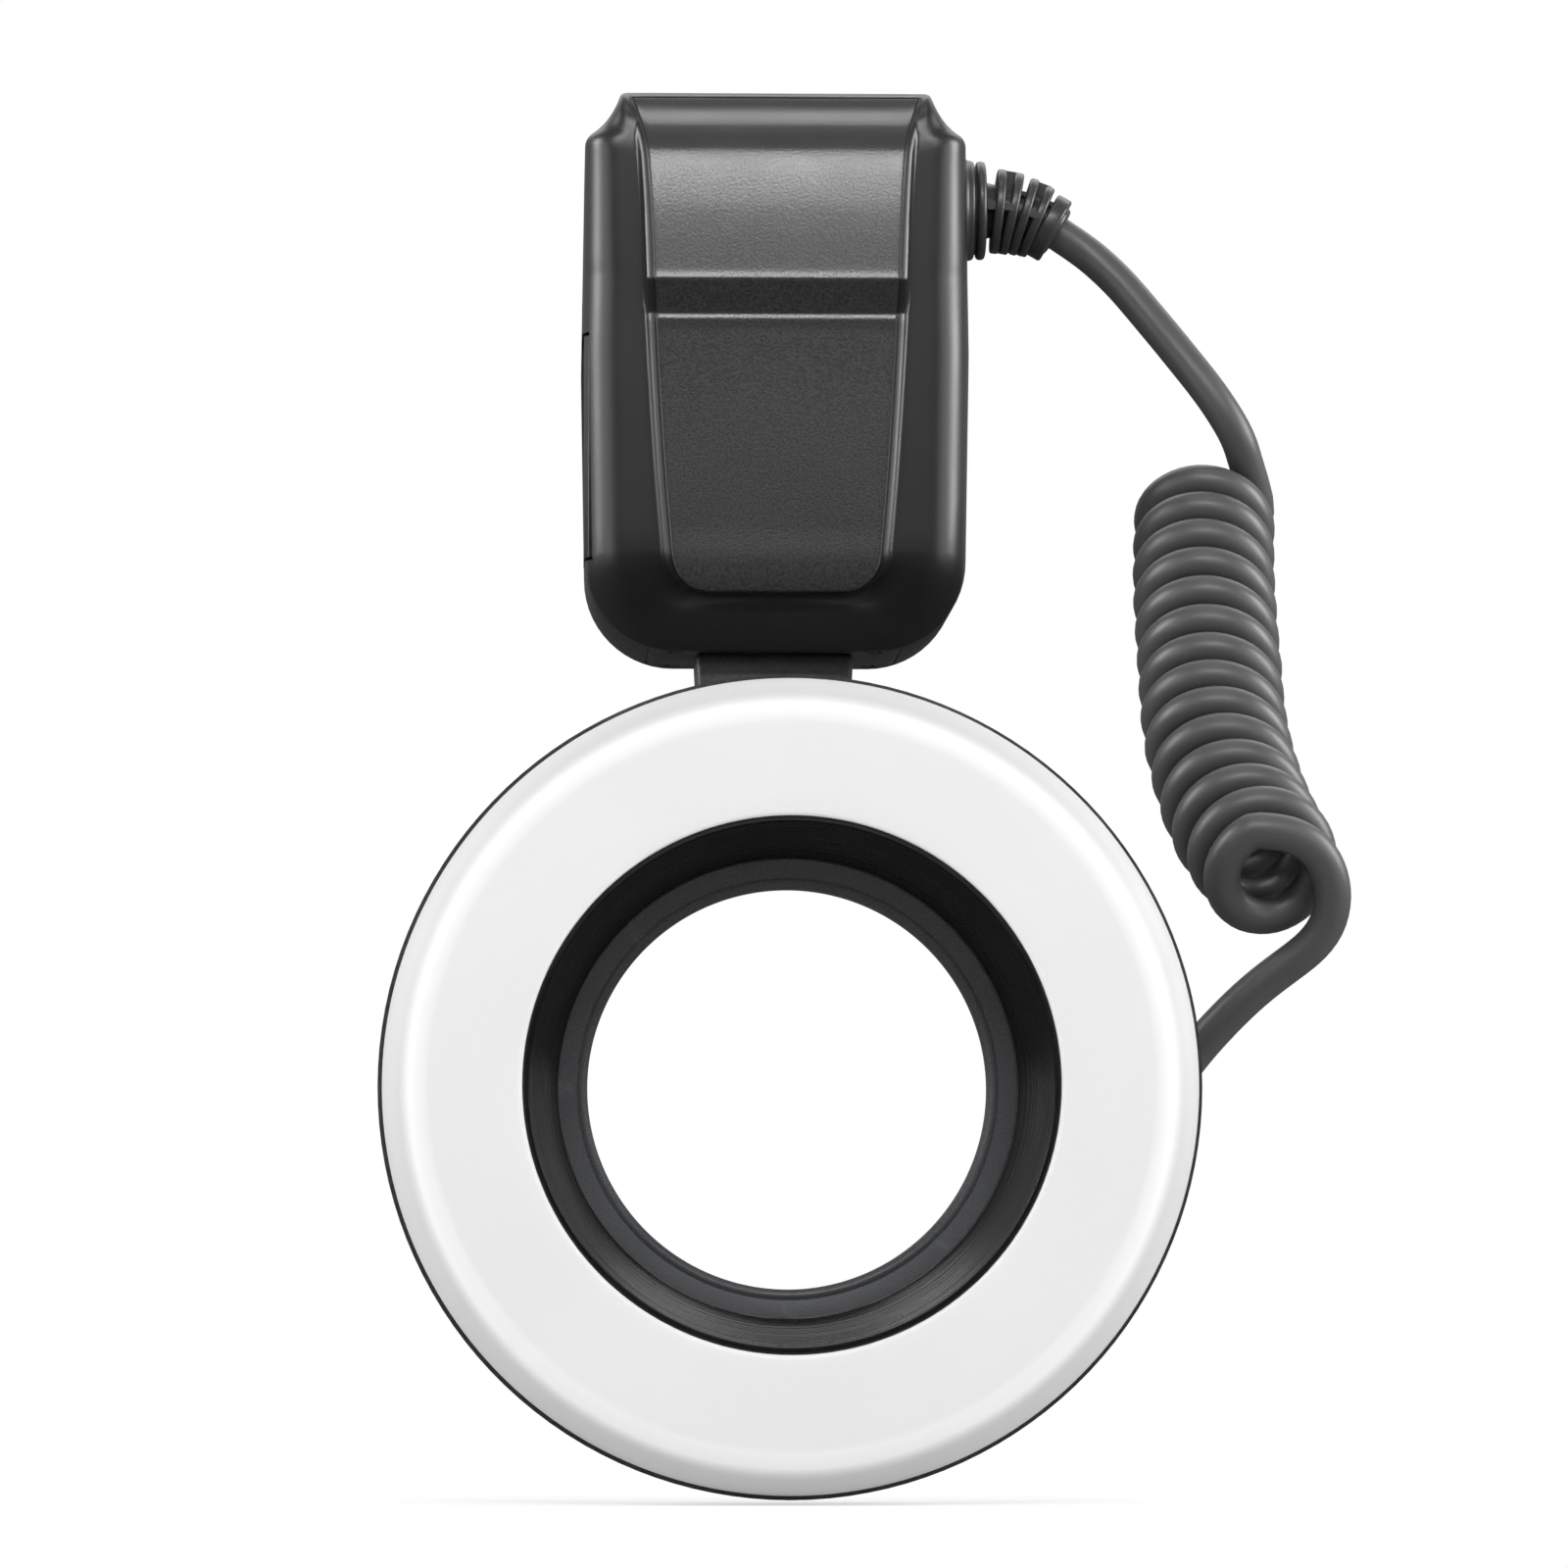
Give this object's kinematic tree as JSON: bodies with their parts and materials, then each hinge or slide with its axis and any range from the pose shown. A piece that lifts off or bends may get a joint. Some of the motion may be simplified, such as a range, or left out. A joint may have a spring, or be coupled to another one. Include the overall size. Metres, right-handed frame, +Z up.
{
  "type": "macro ring flash",
  "caption": "Macro ring flash: a hot-shoe control unit with screen, keys and dial, a curly cord, and a round lamp head that clips to an adapter in the lens filter thread.",
  "frame": {"origin": "middle of the underside of the hot-shoe foot", "axes": "+Z up, -Y toward the subject along the lens axis, +X toward the cord side as seen from the subject"},
  "size_m": [0.1571, 0.1422, 0.2375],
  "materials": {
    "shell_plastic": "fine spark-eroded grain, low sheen",
    "panel_plastic": "coarser sand grain, low sheen",
    "black_plastic": "fine grain, low sheen",
    "key_rubber": "satin",
    "dial_plastic": "satin, ribbed edge",
    "test_plastic": "translucent, polished",
    "cord_rubber": "dull, slightly dusty",
    "boot_rubber": "dull",
    "diffuser_white": "milky, satin",
    "bezel_black": "satin with fine turned lines",
    "adapter_metal": "dark anodised, fine grain",
    "steel": "plain",
    "contact_gold": "bright",
    "board_green": "lacquered",
    "reflector_metal": "bright",
    "tube_glass": "clear",
    "lamp_resin": "clear resin over phosphor",
    "lcd_grey": "unlit screen",
    "window_glass": "clear, smoked edge",
    "capacitor_sleeve": "shrink sleeve",
    "clip_plastic": "moulded",
    "jack_plastic": "moulded"
  },
  "bodies": {
    "flash": {"front_shell": "shell_plastic", "rear_shell": "shell_plastic", "front_panel": "panel_plastic", "base_plate": "black_plastic", "foot_block": "black_plastic", "battery_cage": "black_plastic", "tact_switches": "black_plastic", "dial_encoder": "black_plastic", "ring_rear_shell": "black_plastic", "cable_collar": "black_plastic", "cord_upper": "cord_rubber", "cord_coil": "cord_rubber", "cord_lower": "cord_rubber", "cable_boot": "boot_rubber", "ring_boot": "boot_rubber", "diffuser": "diffuser_white", "inner_bezel": "bezel_black", "base_screws": "steel", "ring_screws": "steel", "shoe_foot": "steel", "left_release_spring": "steel", "right_release_spring": "steel", "usb_port": "steel", "tube_electrodes": "steel", "battery_contacts": "contact_gold", "main_board": "board_green", "lamp_boards": "board_green", "trigger_board": "board_green", "reflector": "reflector_metal", "flash_tube_left": "tube_glass", "flash_tube_right": "tube_glass", "modelling_lamps": "lamp_resin", "lcd_module": "lcd_grey", "lcd_window": "window_glass", "main_capacitor": "capacitor_sleeve", "tube_clips": "clip_plastic", "sync_jack": "jack_plastic"},
    "adapter": {"adapter_ring": "adapter_metal"},
    "right_release": {"right_claw_plate": "steel", "right_release_button": "black_plastic"},
    "left_release": {"left_claw_plate": "steel", "left_release_button": "black_plastic"},
    "lever": {"lock_lever": "black_plastic"},
    "pin": {"lock_pin": "steel"},
    "contacts": {"shoe_contacts": "contact_gold"},
    "battery": {"battery_pack": "shell_plastic"},
    "latch": {"battery_latch": "black_plastic"},
    "key_1": {"function_key_1": "key_rubber"},
    "key_2": {"function_key_2": "key_rubber"},
    "key_3": {"function_key_3": "key_rubber"},
    "key_4": {"function_key_4": "key_rubber"},
    "mode_key": {"mode_button": "key_rubber"},
    "lamp_key": {"lamp_button": "key_rubber"},
    "test_key": {"test_button": "test_plastic"},
    "dial": {"control_dial": "dial_plastic"},
    "set_key": {"set_button": "key_rubber"},
    "power": {"power_switch": "black_plastic"},
    "cover": {"port_cover": "key_rubber"}
  },
  "joints": [
    {"name": "adapter_turn", "type": "hinge", "parent": "flash", "child": "adapter", "pos_m": [0, -0.084, -0.057], "axis": [0, 1, 0], "continuous": true},
    {"name": "right_release_press", "type": "slide", "parent": "flash", "child": "right_release", "axis": [-1, 0, 0], "range_m": [0, 0.0025], "stiffness_N_per_m": 800, "deforming": ["right_release_spring"]},
    {"name": "left_release_press", "type": "slide", "parent": "flash", "child": "left_release", "axis": [1, 0, 0], "range_m": [0, 0.0025], "stiffness_N_per_m": 800, "deforming": ["left_release_spring"]},
    {"name": "lock_lever_turn", "type": "hinge", "parent": "flash", "child": "lever", "pos_m": [0, 0, 0.0053], "axis": [0, 0, 1], "range_deg": [0, 70]},
    {"name": "lock_pin_lift", "type": "slide", "parent": "flash", "child": "pin", "axis": [0, 0, 1], "range_m": [0, 0.0016]},
    {"name": "shoe_contacts_press", "type": "slide", "parent": "flash", "child": "contacts", "axis": [0, 0, 1], "range_m": [0, 0.0006], "stiffness_N_per_m": 400},
    {"name": "battery_pull", "type": "slide", "parent": "flash", "child": "battery", "axis": [-1, 0, 0], "range_m": [0, 0.065]},
    {"name": "battery_latch_lift", "type": "slide", "parent": "flash", "child": "latch", "axis": [0, 0, 1], "range_m": [0, 0.0025], "stiffness_N_per_m": 300},
    {"name": "function_key_1_press", "type": "slide", "parent": "flash", "child": "key_1", "axis": [0, -1, 0], "range_m": [0, 0.0006], "stiffness_N_per_m": 500},
    {"name": "function_key_2_press", "type": "slide", "parent": "flash", "child": "key_2", "axis": [0, -1, 0], "range_m": [0, 0.0006], "stiffness_N_per_m": 500},
    {"name": "function_key_3_press", "type": "slide", "parent": "flash", "child": "key_3", "axis": [0, -1, 0], "range_m": [0, 0.0006], "stiffness_N_per_m": 500},
    {"name": "function_key_4_press", "type": "slide", "parent": "flash", "child": "key_4", "axis": [0, -1, 0], "range_m": [0, 0.0006], "stiffness_N_per_m": 500},
    {"name": "mode_press", "type": "slide", "parent": "flash", "child": "mode_key", "axis": [0, -1, 0], "range_m": [0, 0.0006], "stiffness_N_per_m": 500},
    {"name": "lamp_press", "type": "slide", "parent": "flash", "child": "lamp_key", "axis": [0, -1, 0], "range_m": [0, 0.0006], "stiffness_N_per_m": 500},
    {"name": "test_press", "type": "slide", "parent": "flash", "child": "test_key", "axis": [0, -1, 0], "range_m": [0, 0.0006], "stiffness_N_per_m": 500},
    {"name": "set_press", "type": "slide", "parent": "flash", "child": "set_key", "axis": [0, -1, 0], "range_m": [0, 0.0006], "stiffness_N_per_m": 500},
    {"name": "dial_turn", "type": "hinge", "parent": "flash", "child": "dial", "pos_m": [0, 0.0285, 0.0395], "axis": [0, 1, 0], "continuous": true},
    {"name": "power_slide", "type": "slide", "parent": "flash", "child": "power", "axis": [0, 0, 1], "range_m": [0, 0.005]},
    {"name": "port_cover_open", "type": "hinge", "parent": "flash", "child": "cover", "pos_m": [0.03252, 0.00752, 0.0542], "axis": [0, 0, -1], "range_deg": [0, 95]}
  ],
  "couplings": [
    {"joint": "lock_pin_lift", "follows": "lock_lever_turn", "m_per_rad": 0.0013}
  ]
}
